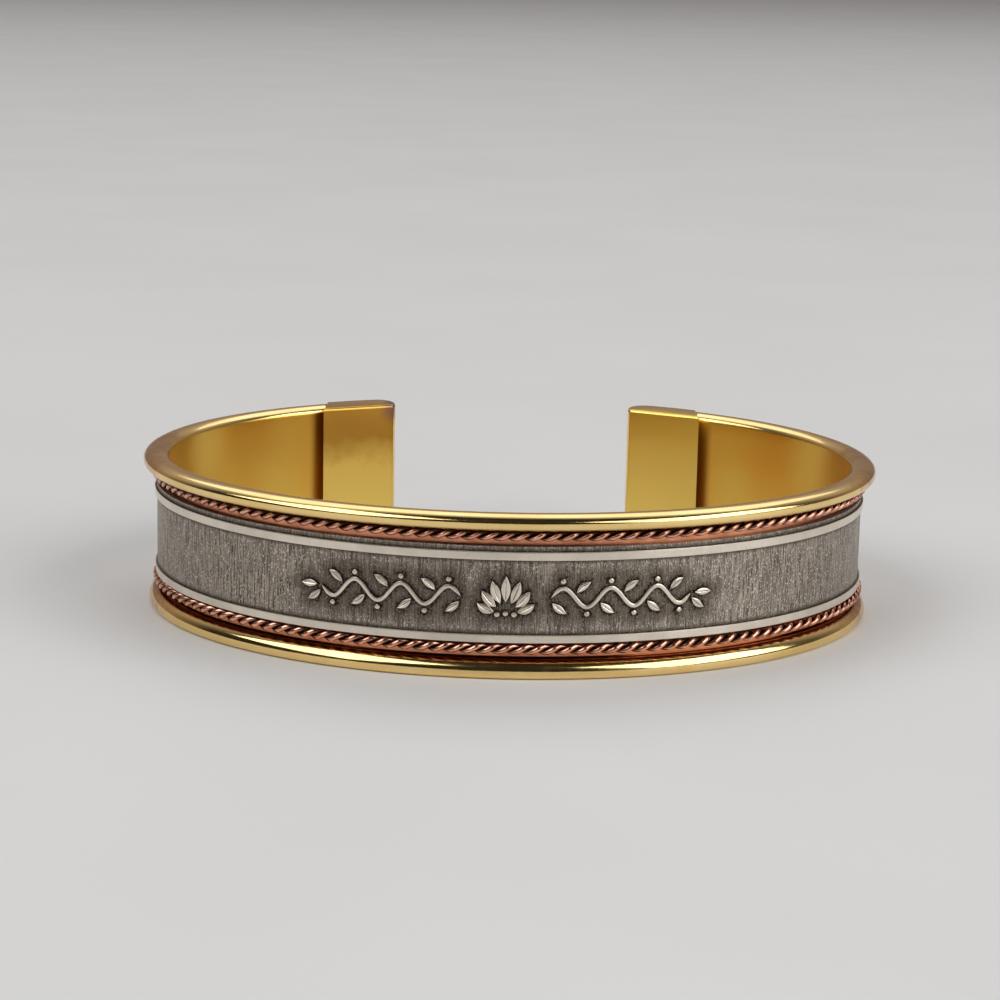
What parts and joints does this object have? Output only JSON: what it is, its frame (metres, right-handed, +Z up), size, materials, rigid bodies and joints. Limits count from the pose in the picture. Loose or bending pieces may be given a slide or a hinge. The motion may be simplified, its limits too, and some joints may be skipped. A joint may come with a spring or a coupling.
{
  "type": "open cuff bracelet",
  "caption": "Open oval cuff bracelet: polished brass channel with block end caps, patterned silver-coloured strip and twisted copper wires along both rims.",
  "frame": {"origin": "middle of the cuff's bounding box, at the level of its lower rim", "axes": "+Z up through the wrist opening, -Y towards the patterned front, +X to the right seen from the front"},
  "size_m": [0.066, 0.0515, 0.0139],
  "materials": {
    "brass": "polished yellow brass",
    "copper": "bright flat copper",
    "copper_wire": "twisted copper wire, dark in its grooves",
    "silver": "oxidised vertical grain with polished raised borders and ornament"
  },
  "bodies": {
    "root": {"brass_band": "brass", "copper_strip": "copper", "silver_strip": "silver", "rope_top": "copper_wire", "rope_bottom": "copper_wire", "end_cap_left": "brass", "end_cap_right": "brass"}
  },
  "joints": []
}
